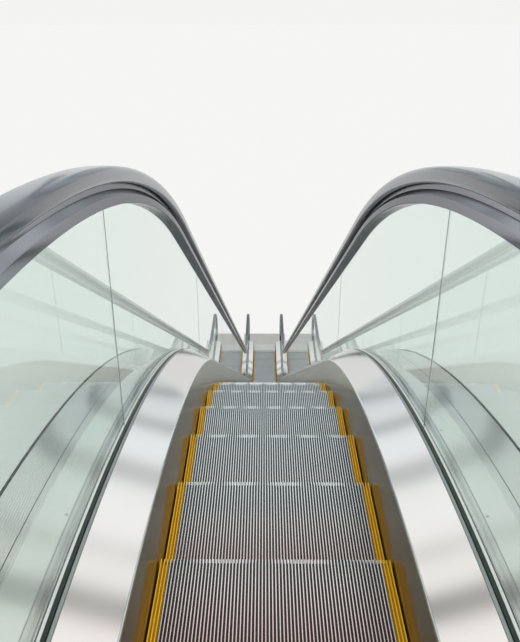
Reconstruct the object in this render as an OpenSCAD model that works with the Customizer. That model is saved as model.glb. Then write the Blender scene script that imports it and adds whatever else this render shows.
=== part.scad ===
// Narrow escalator with frameless glass balustrades, 30 degree incline.
// +Y runs downhill, +Z is up, X is across. The origin is the middle of the
// bearing face of the upper support angle. All sizes in millimetres.

/* [Run] */
// height from the lower landing to the upper landing
rise = 7800; // [6600:100:9400]
// slope of the inclined run in degrees
incline = 30; // [27.5:0.5:32]
// level run of the steps between comb and bend
flat_run = 810; // [780:10:1000]
// floor plate and comb plate length at each landing
landing_len = 1150; // [1080:10:1500]
// radius of the step path in the upper bend
upper_r = 5500; // [4400:100:6200]
// radius of the step path in the lower bend
lower_r = 4000; // [3400:100:4800]

/* [Steps] */
// width of one step
step_w = 604; // [560:2:800]
// distance from nose to nose along the run
step_pitch = 404.6; // [400:0.2:409]
// path length from the upper bend to the first nose
step_phase = 578; // [500:1:640]
// cleats across one step
cleat_n = 71; // [61:2:91]
// width of one cleat at its top
cleat_w = 2.9; // [2.4:0.1:3.4]
// height of the cleats above the tread plate
cleat_h = 10; // [9:0.5:12]
// cleats in each yellow edge strip
strip_n = 3; // [2:1:5]
// radius of the step rollers
roller_r = 38; // [34:1:40]

/* [Balustrade] */
// height of the handrail top above the step noses
handrail_h = 974; // [950:1:1060]
// distance between the handrail centre lines
handrail_gauge = 950; // [930:2:1000]
// width of the rubber handrail
handrail_w = 80; // [76:1:86]
// thickness of the rubber handrail
handrail_t = 46; // [42:1:50]
// outer radius of the handrail around the newel
newel_r = 437; // [435:1:445]
// comb line to newel centre
newel_back = 350; // [320:5:420]
// thickness of the glass panels
glass_t = 10; // [8:1:12]
// length of a glass panel on the incline
panel_len = 2000; // [1500:50:2400]
// height of the glass foot above the step noses
deck_h = 186; // [180:1:196]
// height of the skirt top above the step noses
skirt_h = 118; // [110:1:124]
// outward lean of the skirt over its height
skirt_lean = 18; // [10:1:24]
// gap between step and skirt on each side
skirt_gap = 4; // [3:0.5:6]
// width of the machine across the outer decks
overall_w = 1220; // [1210:10:1400]
// width of the cover strip beside each outer deck
cover_w = 105; // [60:5:200]

/* [Truss] */
// depth of the truss under the step noses
truss_depth = 880; // [820:10:1000]
// section of the truss chords and posts
chord_w = 60; // [50:2:70]
// spacing of the truss posts on the incline
post_pitch = 1900; // [1500:50:2200]
// thickness of the cladding sheets
sheet_t = 3; // [2:0.5:4]
// bearing face of the support angle below the tread level
support_drop = 200; // [160:10:260]
// bearing length of the support angle along the run
support_len = 150; // [120:10:180]

/* [Hidden] */
a = incline;
zf = support_drop;
floor_up = 8;
plate_y1 = support_len / 2 + 15;
comb_y1 = plate_y1 + landing_len;
t1 = upper_r * tan(a / 2);
t2 = lower_r * tan(a / 2);
y1 = comb_y1 + flat_run + t1;
slope_len = rise / sin(a);
y2 = y1 + rise / tan(a);
z2 = zf - rise;
comb_y2 = y2 + t2 + flat_run;
plate_y2 = comb_y2 + landing_len;
support_y2 = plate_y2 + plate_y1;
newel_y1 = comb_y1 - newel_back;
newel_y2 = comb_y2 + newel_back;
base_y1 = newel_y1 + 20;
base_y2 = newel_y2 - 20;
comb_len = step_pitch + 25;

half_w = overall_w / 2;
skirt_x = step_w / 2 + skirt_gap;
skirt_top = skirt_x + skirt_lean;
plate_x = skirt_x + 4.3;
rail_x = handrail_gauge / 2;
clamp_w = 35;
glass_z = 122.3;
guide_v = -84;
glass_r = newel_r + guide_v;
glass_end_z = handrail_h - newel_r - glass_r;
clamp_start = 480;
joint_lean = 4;
rail_low = handrail_h - 2 * newel_r;

pitch_x = (step_w - cleat_w - 1.7) / (cleat_n - 1);
mid_n = cleat_n - 2 * strip_n;
tread_d = step_pitch - 4.6;
tread_base = 4;
tread_low = cleat_h + tread_base;
riser_a = asin((tread_low + 0.6) / step_pitch);
chain_y = -tread_d + 40;
chain_z = -32 - roller_r;
trail_y = -110;
trail_z = -232 - roller_r;
roller_w = 14;
chain_x = step_w / 2 - roller_w - 4;
trail_x = chain_x - roller_w - 6;

arc1 = upper_r * a * PI / 180;
arc2 = lower_r * a * PI / 180;
mid_len = slope_len - t1 - t2;
s_end = arc1 + mid_len + arc2;
comb_s1 = -flat_run;
comb_s2 = s_end + flat_run;
first_k = ceil((comb_s1 - step_phase + 20) / step_pitch);
last_k = floor((comb_s2 + tread_d - 20 - step_phase) / step_pitch);
step_n = last_k - first_k + 1;
upper_n = 13;
lower_n = 6;

ret_v = -100;
ret_r = 2500;
dip_r = 600;
dip = handrail_h - 2 * newel_r - ret_v;
dip_len = (dip - 2 * dip_r * (1 - cos(30))) / sin(30);
dip_run = 2 * dip_r * sin(30) + dip_len * cos(30);
tr = ret_r * tan(a / 2);

post_n = max(1, round(mid_len / post_pitch));
panel_n = max(1, round((mid_len - 400) / panel_len));
sheet_gap = 1;
sheet_n = max(1, round(mid_len / (2 * post_pitch)));

steel = [0.55, 0.56, 0.58];
satin = [0.78, 0.77, 0.74];
taupe = [0.36, 0.32, 0.29];
alu = [0.80, 0.80, 0.81];
yellow = [0.93, 0.74, 0.12];
rubber = [0.10, 0.11, 0.12];
glassy = [0.75, 0.88, 0.84, 0.35];
paint = [0.86, 0.85, 0.81];

// points on the step nose path, measured from the start of the upper bend
function nose_y(s) =
    s < 0 ? y1 - t1 + s :
    s < arc1 ? y1 - t1 + upper_r * sin(s / upper_r * 180 / PI) :
    s < arc1 + mid_len ? y1 + (t1 + s - arc1) * cos(a) :
    s < s_end ? y2 + t2 - lower_r * sin((s_end - s) / lower_r * 180 / PI) :
    y2 + t2 + s - s_end;
function nose_z(s) =
    s < 0 ? zf :
    s < arc1 ? zf - upper_r * (1 - cos(s / upper_r * 180 / PI)) :
    s < arc1 + mid_len ? zf - (t1 + s - arc1) * sin(a) :
    s < s_end ? z2 + lower_r * (1 - cos((s_end - s) / lower_r * 180 / PI)) :
    z2;

// points of a line held v above a chain of pieces, from y, z with heading h
function trace(segs, v, y, z, h = 0, last = true, i = 0) =
    i == len(segs) ? (last ? [[y - v * sin(h), z + v * cos(h)]] : []) :
    let (s = segs[i])
    s[0] == 0 ? concat([[y - v * sin(h), z + v * cos(h)]],
        trace(segs, v, y + s[1] * cos(h), z + s[1] * sin(h), h, last, i + 1)) :
    let (g = s[0] == 1 ? -1 : 1, r = g * s[1], n = ceil(s[2] / (s[1] > 2000 ? 1.5 : 5)),
        cy = y - r * sin(h), cz = z + r * cos(h), e = h + g * s[2])
    concat([for (k = [0:n - 1]) let (q = h + g * s[2] * k / n) [cy + (r - v) * sin(q), cz - (r - v) * cos(q)]],
        trace(segs, v, cy + r * sin(e), cz - r * cos(e), e, last, i + 1));

// the handrail line from one newel over the run to the other
function top_run(ang) = [[1, newel_r, ang], [0, y1 - t1 - newel_y1], [1, upper_r, a], [0, mid_len], [2, lower_r, a],
    [0, newel_y2 - y2 - t2], [1, newel_r, ang]];

function flip(p) = [for (i = [len(p) - 1:-1:0]) p[i]];

// straight length of a section drawn as (x, height)
module along(len) {
    translate([0, len, 0]) rotate([90, 0, 0]) linear_extrude(len) children();
}

// section carried around a bend that falls away
module bend_down(r, ang) {
    translate([0, 0, -r]) mirror([1, 0, -1])
        rotate_extrude(angle = ang, $fn = 96) translate([r, 0]) rotate(90) mirror([0, 1]) children();
}

// section carried around a bend that rises
module bend_up(r, ang) {
    translate([0, 0, r]) rotate([0, 90, 0])
        rotate_extrude(angle = ang, $fn = 96) translate([r, 0]) rotate(90) children();
}

// section carried along the whole run, shifted by dy and dz, in lengths
// with butt joints at the bends and along the incline
module sheets(ys, ye, dy = 0, dz = 0) {
    g = sheet_gap;
    n = sheet_n;
    piece = mid_len / n;
    translate([0, dy, dz]) {
        translate([0, ys - dy, zf]) along(y1 - t1 - ys + dy - g) children();
        translate([0, y1 - t1, zf]) bend_down(upper_r, a) children();
        for (i = [0:n - 1]) at_slope(t1 + i * piece + (i == 0 ? g : g / 2))
            along(piece - (i == 0 ? 1.5 * g : g) - (i == n - 1 ? g / 2 : 0)) children();
        at_lower_bend(a) bend_up(lower_r, a) children();
        translate([0, y2 + t2 + g, z2]) along(ye - dy - y2 - t2 - g) children();
    }
}

// local frames across the run
module at_slope(s) {
    translate([0, y1 + s * cos(a), zf - s * sin(a)]) rotate([-a, 0, 0]) children();
}

module at_upper_bend(ang) {
    translate([0, y1 - t1, zf - upper_r]) rotate([-ang, 0, 0]) translate([0, 0, upper_r]) children();
}

module at_lower_bend(ang) {
    translate([0, y2 + t2, z2 + lower_r]) rotate([-ang, 0, 0]) translate([0, 0, -lower_r]) children();
}

// every place where the truss has a frame
module at_frames() {
    translate([0, comb_y1 - 100, zf]) children();
    translate([0, y1 - t1 - 60, zf]) children();
    at_upper_bend(a / 2) children();
    for (i = [0:post_n]) at_slope(t1 + 60 + (mid_len - 120) * i / post_n) children();
    at_lower_bend(a / 2) children();
    translate([0, y2 + t2 + 60, z2]) children();
    translate([0, comb_y2 + 100, z2]) children();
}

module mirror_pair() {
    children();
    mirror([1, 0, 0]) children();
}

// supports and truss
module angle_bar() {
    translate([-half_w + 20, 0, 0]) cube([2 * half_w - 40, support_len, 20]);
}

module support_angle_upper() {
    color(steel) {
        translate([0, -support_len / 2, 0]) angle_bar();
        translate([-half_w + 20, plate_y1 - 15, -150]) cube([2 * half_w - 40, 15, 170]);
    }
}

module support_angle_lower() {
    color(steel) {
        translate([0, support_y2 - support_len / 2, z2 - zf]) angle_bar();
        translate([-half_w + 20, plate_y2, z2 - zf - 150]) cube([2 * half_w - 40, 15, 170]);
    }
}

module end_plate_upper() {
    color(steel) translate([-half_w, plate_y1, zf - truss_depth]) cube([2 * half_w, 6, truss_depth - 17.3]);
}

module end_plate_lower() {
    color(steel) translate([-half_w, plate_y2 - 6, z2 - truss_depth]) cube([2 * half_w, 6, truss_depth - 17.3]);
}

module truss_chords() {
    color(steel) mirror_pair() {
        sheets(plate_y1 + 6, plate_y2 - 6) translate([half_w - sheet_t - chord_w, -35 - chord_w])
            square([chord_w, chord_w]);
        sheets(plate_y1 + 6, plate_y2 - 6) translate([half_w - sheet_t - chord_w, -truss_depth + sheet_t])
            square([chord_w, chord_w]);
    }
}

module truss_posts() {
    color(steel) mirror_pair() at_frames()
        translate([half_w - sheet_t - chord_w, -chord_w / 2, -truss_depth + sheet_t + chord_w])
            cube([chord_w, chord_w, truss_depth - sheet_t - 2 * chord_w - 35]);
}

beam_x = half_w - sheet_t - chord_w;
beam_z = trail_z - roller_r - 40;

module cross_beams() {
    color(steel) at_frames()
        translate([-beam_x, -30, beam_z - 60]) cube([2 * beam_x, 60, 60]);
}

module side_cladding() {
    color(paint) sheets(plate_y1 + 6, plate_y2 - 6)
        translate([half_w - sheet_t, -truss_depth]) square([sheet_t, truss_depth - 30]);
}

module side_cladding_right() {
    side_cladding();
}

module side_cladding_left() {
    mirror([1, 0, 0]) side_cladding();
}

module soffit_panels() {
    color(paint) sheets(plate_y1 + 6, plate_y2 - 6)
        translate([-half_w + sheet_t, -truss_depth]) square([2 * half_w - 2 * sheet_t, sheet_t]);
}

// tracks that carry the steps
module track_plates() {
    color(steel) mirror_pair() sheets(comb_y1 - 320, comb_y2 + comb_len + 20)
        polygon([[skirt_x, beam_z], [skirt_x, -200.3], [plate_x, -200.3], [plate_x, -2], [plate_x + 4, -2],
            [plate_x + 4, beam_z]]);
}

module chain_tracks() {
    color(steel) mirror_pair() sheets(comb_y1 - 300, comb_y2 + comb_len, chain_y, chain_z)
        translate([chain_x - 1, -roller_r - 6]) square([skirt_x - chain_x + 0.7, 6]);
}

module trailing_tracks() {
    color(steel) mirror_pair() sheets(comb_y1 - 300, comb_y2 + comb_len, trail_y, trail_z)
        translate([trail_x - 1, -roller_r - 6]) square([skirt_x - trail_x + 0.7, 6]);
}

// balustrade base
module skirt() {
    color(taupe) sheets(base_y1, base_y2) polygon([[skirt_x, -200], [skirt_x, 0], [skirt_top, skirt_h],
        [skirt_top + 4, skirt_h], [skirt_x + 4, 0], [skirt_x + 4, -200]]);
}

module skirt_right() {
    skirt();
}

module skirt_left() {
    mirror([1, 0, 0]) skirt();
}

module inner_deck() {
    xo = rail_x - clamp_w;
    color(satin) sheets(base_y1, base_y2) polygon([[skirt_top, skirt_h], [skirt_top, skirt_h + 10], [xo, deck_h],
        [xo, deck_h - 3.5], [skirt_top + 3.5, skirt_h + 8], [skirt_top + 3.5, skirt_h]]);
}

module inner_deck_right() {
    inner_deck();
}

module inner_deck_left() {
    mirror([1, 0, 0]) inner_deck();
}

module outer_deck() {
    xi = rail_x + clamp_w;
    xc = half_w + 0.3;
    color(satin) {
        sheets(base_y1, base_y2) polygon([[xi, deck_h - sheet_t], [xi, deck_h], [half_w, deck_h],
            [half_w, -29], [half_w - sheet_t, -29], [half_w - sheet_t, deck_h - sheet_t]]);
        sheets(base_y1, base_y2) polygon([[xc, deck_h - 45], [xc, deck_h], [xc + cover_w, deck_h],
            [xc + cover_w, deck_h - 25], [xc + cover_w - sheet_t, deck_h - 25],
            [xc + cover_w - sheet_t, deck_h - sheet_t], [xc + sheet_t, deck_h - sheet_t], [xc + sheet_t, deck_h - 45]]);
    }
}

module outer_deck_right() {
    outer_deck();
}

module outer_deck_left() {
    mirror([1, 0, 0]) outer_deck();
}

module glass_clamps() {
    color(alu) mirror_pair() sheets(newel_y1 + clamp_start, newel_y2 - clamp_start)
        polygon([[rail_x - clamp_w, 110], [rail_x - clamp_w, deck_h - 4], [rail_x - glass_t / 2 - 0.5, deck_h - 4],
            [rail_x - glass_t / 2 - 0.5, glass_z - 0.3], [rail_x + glass_t / 2 + 0.5, glass_z - 0.3],
            [rail_x + glass_t / 2 + 0.5, deck_h - 4], [rail_x + clamp_w, deck_h - 4], [rail_x + clamp_w, 110]]);
}

module glass_gaskets() {
    w = clamp_w - glass_t / 2 - 3.3;
    color(rubber) mirror_pair() {
        sheets(base_y1 + 4, base_y2 - 4) translate([rail_x - clamp_w + 3, deck_h - 4]) square([w, 5]);
        sheets(base_y1 + 4, base_y2 - 4) translate([rail_x + glass_t / 2 + 0.3, deck_h - 4]) square([w, 5]);
    }
}

module glass() {
    yj1 = y1 - t1 + 1040;
    yj2 = y2 + t2 - 700;
    foot = trace([[0, y1 - t1 - newel_y1 - clamp_start], [1, upper_r, a], [0, mid_len], [2, lower_r, a],
        [0, newel_y2 - clamp_start - y2 - t2]], glass_z, newel_y1 + clamp_start, zf);
    color(glassy) translate([rail_x - glass_t / 2, 0, 0]) rotate([90, 0, 90]) linear_extrude(glass_t) difference() {
        polygon(concat(trace(top_run(180), guide_v, newel_y1, zf + rail_low, 180),
            [[newel_y2 - clamp_start, z2 + glass_end_z]], flip(foot), [[newel_y1 + clamp_start, zf + glass_end_z]]));
        for (i = [0:panel_n]) {
            yj = yj1 + (yj2 - yj1) * i / panel_n;
            zj = max(z2, min(zf, zf - (yj - y1) * tan(a)));
            translate([yj, zj]) rotate(-joint_lean) translate([-2, -500]) square([4, 2200]);
        }
    }
}

module glass_right() {
    glass();
}

module glass_left() {
    mirror([1, 0, 0]) glass();
}

// handrail and its guide, built in layers across their width
module guide_layer(x0, x1, low, high) {
    translate([x0, 0, 0]) rotate([90, 0, 90]) linear_extrude(x1 - x0)
        polygon(concat(guide_line(high), flip(guide_line(low))));
}

function guide_line(v) = trace(top_run(150), v, newel_y1 - newel_r * sin(30),
    zf + handrail_h - newel_r - newel_r * cos(30), 150);

module handrail_guide() {
    g = glass_t / 2 + 0.3;
    color(satin) translate([rail_x, 0, 0]) {
        guide_layer(-31, -24, guide_v - 22, guide_v + 6);
        guide_layer(-24, -17, guide_v - 22, guide_v + 14);
        guide_layer(-17, -g, guide_v - 22, -handrail_t - 0.2);
        guide_layer(-g, g, guide_v + 0.3, -handrail_t - 0.2);
        guide_layer(g, 17, guide_v - 22, -handrail_t - 0.2);
        guide_layer(17, 24, guide_v - 22, guide_v + 14);
        guide_layer(24, 31, guide_v - 22, guide_v + 6);
    }
}

module handrail_guide_right() {
    handrail_guide();
}

module handrail_guide_left() {
    mirror([1, 0, 0]) handrail_guide();
}

module handrail() {
    low_in = 10;
    low_mid = newel_y2 - low_in - dip_run - y2 - tr;
    up_mid = y1 - tr - newel_y1 - low_in - dip_run;
    loop = concat(top_run(180), [[0, low_in], [2, dip_r, 30], [0, dip_len], [1, dip_r, 30], [0, low_mid],
        [1, ret_r, a], [0, slope_len - 2 * tr], [2, ret_r, a], [0, up_mid],
        [1, dip_r, 30], [0, dip_len], [2, dip_r, 30], [0, low_in]]);
    color(rubber) translate([rail_x - handrail_w / 2, 0, 0]) rotate([90, 0, 90]) linear_extrude(handrail_w)
        difference() {
            polygon(trace(loop, 0, newel_y1, zf + rail_low, 180, false));
            polygon(trace(loop, -handrail_t, newel_y1, zf + rail_low, 180, false));
        }
}

module handrail_right() {
    handrail();
}

module handrail_left() {
    mirror([1, 0, 0]) handrail();
}

// the caps where the handrail enters the base

module inlet_cap() {
    difference() {
        translate([rail_x - handrail_w / 2 - 14, -45, rail_low - 16]) cube([handrail_w + 28, 65, handrail_t + 32]);
        translate([rail_x - handrail_w / 2 - 2, -50, rail_low - 2]) cube([handrail_w + 4, 75, handrail_t + 6]);
    }
}

module inlet_caps_upper() {
    color(rubber) translate([0, newel_y1, zf]) mirror_pair() inlet_cap();
}

module inlet_caps_lower() {
    color(rubber) translate([0, newel_y2, z2]) mirror([0, 1, 0]) mirror_pair() inlet_cap();
}

module base_cap() {
    difference() {
        rotate([90, 0, 0]) linear_extrude(4) polygon([[plate_x + 2, floor_up + 1],
            [skirt_top + 4.9, skirt_h - 2], [skirt_top + 4.9, skirt_h + 6],
            [rail_x - clamp_w, deck_h - 4.2], [half_w - sheet_t - 0.2, deck_h - 4.2], [half_w - sheet_t - 0.2, floor_up + 1]]);
        translate([rail_x - handrail_w / 2 - 2, -10, rail_low - 2]) cube([handrail_w + 4, 20, handrail_t + 6]);
    }
}

module base_caps() {
    color(satin) {
        translate([0, base_y1 + 4, zf]) mirror_pair() base_cap();
        translate([0, base_y2, z2]) mirror_pair() base_cap();
    }
}

// landings
module comb() {
    w = step_w / 2 - 1;
    g = (pitch_x - cleat_w) / 2 - 1.1;
    n = cleat_n;
    color(alu) intersection() {
        linear_extrude(40, center = true) polygon(concat(
            [[-w, comb_len - 60], [-w, 0], [w, 0], [w, comb_len - 60]],
            [for (i = [1:n - 1]) let (x = (n / 2 - i) * pitch_x) each
                [[x + g, comb_len - 60], [x + g, comb_len - 6], [x - g, comb_len - 6], [x - g, comb_len - 60]]]));
        rotate([90, 0, 90]) translate([0, 0, -step_w / 2]) linear_extrude(step_w) polygon([[0, 2], [0, floor_up],
            [comb_len - 110, floor_up], [comb_len - 60, floor_up - 3], [comb_len - 6, -4],
            [comb_len - 6, -7], [comb_len - 14, -8], [comb_len - 60, -8], [comb_len - 60, 2]]);
    }
}

module comb_upper() {
    translate([0, comb_y1 - comb_len, zf]) comb();
}

module comb_lower() {
    translate([0, comb_y2 + comb_len, z2]) mirror([0, 1, 0]) comb();
}

module floor_plate() {
    yb = landing_len - newel_back + 20 - 6;
    yc = landing_len - comb_len;
    color(satin) translate([0, 0, -17]) linear_extrude(17 + floor_up)
        polygon([[-half_w, 0], [half_w, 0], [half_w, yb], [step_w / 2 + 1, yb], [step_w / 2 + 1, yc], [-step_w / 2 - 1, yc],
            [-step_w / 2 - 1, yb], [-half_w, yb]]);
}

module floor_plate_upper() {
    translate([0, plate_y1, zf]) floor_plate();
}

module floor_plate_lower() {
    translate([0, plate_y2, z2]) mirror([0, 1, 0]) floor_plate();
}

// one step, nose at the origin, tread running uphill
function comb_line(n, x0, base, top) = [for (i = [0:n - 1]) let (x = x0 + (i + 0.5) * pitch_x) each
    [[x - cleat_w / 2 - 0.5, base], [x - cleat_w / 2, top], [x + cleat_w / 2, top], [x + cleat_w / 2 + 0.5, base]]];

tread_x = mid_n * pitch_x / 2;

module tread() {
    translate([0, -tread_d, 0]) along(tread_d) polygon(concat(
        [[-tread_x, -tread_low], [-tread_x, -cleat_h]], comb_line(mid_n, -tread_x, -cleat_h, 0),
        [[tread_x, -cleat_h], [tread_x, -tread_low]]));
}

module strip() {
    w = step_w / 2 - tread_x - 0.3;
    translate([tread_x + 0.3, -tread_d, 0]) along(tread_d) polygon(concat(
        [[0, -tread_low], [0, -cleat_h]], comb_line(strip_n, -0.3, -cleat_h, 0), [[w, -cleat_h], [w, -tread_low]]));
}

module plain_tread() {
    translate([-tread_x, -tread_d, -tread_low]) cube([2 * tread_x, tread_d, tread_low]);
}

module riser() {
    p = step_pitch;
    translate([0, -p, 0]) rotate([0, 90, 0]) rotate([0, 0, 60 - riser_a]) rotate_extrude(angle = 30, $fn = 96)
        translate([p - 11, -step_w / 2]) square([11, step_w]);
}

cheek_x = trail_x - 12;
cheek_r = step_pitch - 11.3;

module step_frame() {
    rotate([90, 0, 90]) translate([0, 0, -step_w / 2]) linear_extrude(step_w)
        polygon([[-tread_d, -tread_low - 6], [-tread_d, -tread_low - 0.2], [-11.8, -tread_low - 0.2], [-11.8, -tread_low - 6]]);
    for (m = [0, 1]) mirror([m, 0, 0]) {
        rotate([90, 0, 90]) translate([0, 0, cheek_x]) linear_extrude(8)
            polygon(concat([[-tread_d + 4, -tread_low - 6], [-12.4, -tread_low - 6]],
                [for (q = [4:3:31]) [cheek_r * cos(q) - step_pitch, -cheek_r * sin(q)]],
                [[trail_y + 22, trail_z - 8], [trail_y - 22, trail_z - 12], [chain_y - 24, chain_z - 20]]));
        translate([cheek_x + 8, chain_y, chain_z]) rotate([0, 90, 0]) cylinder(r = 11, h = chain_x - cheek_x - 8.3, $fn = 48);
        translate([cheek_x + 8, trail_y, trail_z]) rotate([0, 90, 0]) cylinder(r = 11, h = trail_x - cheek_x - 8.3, $fn = 48);
    }
}

module place_steps(i0, i1) {
    for (i = [i0:i1]) if (i < step_n) {
        s = step_phase + (first_k + i) * step_pitch;
        translate([0, nose_y(s), nose_z(s)]) children();
    }
}

module step_treads_upper() {
    color(alu) place_steps(0, upper_n - 1) tread();
}

module step_treads_middle() {
    color(alu) place_steps(upper_n, step_n - lower_n - 1) plain_tread();
}

module step_treads_lower() {
    color(alu) place_steps(step_n - lower_n, step_n - 1) tread();
}

module step_risers() {
    color(alu) place_steps(0, step_n - 1) riser();
}

module step_frames() {
    color(steel) place_steps(0, step_n - 1) step_frame();
}

module step_rollers() {
    color(rubber) place_steps(0, step_n - 1) for (m = [0, 1]) mirror([m, 0, 0]) {
        translate([chain_x, chain_y, chain_z]) rotate([0, 90, 0]) cylinder(r = roller_r - 0.2, h = roller_w, $fn = 64);
        translate([trail_x, trail_y, trail_z]) rotate([0, 90, 0]) cylinder(r = roller_r - 0.2, h = roller_w, $fn = 64);
    }
}

module edge_strips_right() {
    color(yellow) place_steps(0, step_n - 1) strip();
}

module edge_strips_left() {
    color(yellow) place_steps(0, step_n - 1) mirror([1, 0, 0]) strip();
}

support_angle_upper();
support_angle_lower();
end_plate_upper();
end_plate_lower();
truss_chords();
truss_posts();
cross_beams();
side_cladding_left();
side_cladding_right();
soffit_panels();
track_plates();
chain_tracks();
trailing_tracks();
skirt_left();
skirt_right();
inner_deck_left();
inner_deck_right();
outer_deck_left();
outer_deck_right();
glass_clamps();
glass_gaskets();
glass_left();
glass_right();
handrail_guide_left();
handrail_guide_right();
handrail_left();
handrail_right();
inlet_caps_upper();
inlet_caps_lower();
base_caps();
comb_upper();
comb_lower();
floor_plate_upper();
floor_plate_lower();
step_treads_upper();
step_treads_middle();
step_treads_lower();
step_risers();
step_frames();
step_rollers();
edge_strips_left();
edge_strips_right();
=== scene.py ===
"""Dresses the narrow glass-sided escalator for its photographed view."""
import logging
import math
from dataclasses import dataclass
from enum import Enum

import bmesh
import bpy
from mathutils import Euler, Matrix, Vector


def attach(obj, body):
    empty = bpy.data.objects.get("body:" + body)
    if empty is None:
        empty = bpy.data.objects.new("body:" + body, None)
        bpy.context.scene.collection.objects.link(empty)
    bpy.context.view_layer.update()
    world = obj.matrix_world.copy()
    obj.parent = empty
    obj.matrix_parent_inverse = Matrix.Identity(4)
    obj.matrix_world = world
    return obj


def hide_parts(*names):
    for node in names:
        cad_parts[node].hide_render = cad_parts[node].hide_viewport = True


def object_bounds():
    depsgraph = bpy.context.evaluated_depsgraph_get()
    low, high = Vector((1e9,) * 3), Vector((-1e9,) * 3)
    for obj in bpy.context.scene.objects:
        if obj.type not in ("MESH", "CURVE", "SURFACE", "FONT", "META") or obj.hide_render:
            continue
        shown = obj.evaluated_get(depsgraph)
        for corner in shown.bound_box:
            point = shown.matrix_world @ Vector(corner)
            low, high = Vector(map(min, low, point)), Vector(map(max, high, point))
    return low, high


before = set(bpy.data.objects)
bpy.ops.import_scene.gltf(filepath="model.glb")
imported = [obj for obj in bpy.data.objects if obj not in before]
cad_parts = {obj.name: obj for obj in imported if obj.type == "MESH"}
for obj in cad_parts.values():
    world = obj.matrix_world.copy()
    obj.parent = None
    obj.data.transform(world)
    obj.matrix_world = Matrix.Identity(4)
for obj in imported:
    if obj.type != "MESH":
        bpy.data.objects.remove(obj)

LOG = logging.getLogger("escalator")
CAD_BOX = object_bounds()
TINY = 1e-6
CLOSE = 1e-4

Colour = tuple[float, float, float]
Spot = tuple[float, float, float]
Section = list[tuple[float, float]]
Piece = bpy.types.Object


class Side(Enum):
    """A side of the run, with the sign of its x."""

    LEFT = -1.0
    RIGHT = 1.0

    @property
    def word(self) -> str:
        """Returns its name as pieces and nodes have it."""
        return self.name.lower()


@dataclass(frozen=True)
class Station:
    """A point on a line of the run.

    Attributes:
        y: Distance downhill in metres.
        z: Height in metres.
        heading: Direction in radians, falling is negative.
        run: Length of the line up to here in metres.
    """

    y: float
    z: float
    heading: float
    run: float

    def lifted(self, x: float, lift: float) -> Spot:
        """Returns the point lift metres above the line at x across."""
        return (x, self.y - lift * math.sin(self.heading), self.z + lift * math.cos(self.heading))


Line = list[Station]


def trace(y: float, z: float, heading: float, lengths: list[tuple[float, float]]) -> Line:
    """Follows straight and bent lengths from a point.

    Args:
        y: Where the line starts downhill.
        z: Where it starts in height.
        heading: Its first direction in radians.
        lengths: Length and 0 for a straight, radius and turn in radians for a bend, falling is negative.

    Returns:
        The stations along the line, 0.5 degrees apart in a wide bend and 4 degrees in a tight one.
    """
    spots = [Station(y, z, heading, 0.0)]
    run = 0.0
    for size, turn in lengths:
        if not turn:
            if size > TINY:
                y += size * math.cos(heading)
                z += size * math.sin(heading)
                run += size
                spots.append(Station(y, z, heading, run))
            continue
        sign, angle = math.copysign(1.0, turn), abs(turn)
        count = max(2, math.ceil(angle / math.radians(0.5 if size > 1.0 else 4.0)))
        cy = y - sign * size * math.sin(heading)
        cz = z + sign * size * math.cos(heading)
        for i in range(1, count + 1):
            way = heading + sign * angle * i / count
            spots.append(Station(cy + sign * size * math.sin(way), cz - sign * size * math.cos(way), way,
                                 run + size * angle * i / count))
        heading += sign * angle
        run += size * angle
        y, z = spots[-1].y, spots[-1].z
    return spots


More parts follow.
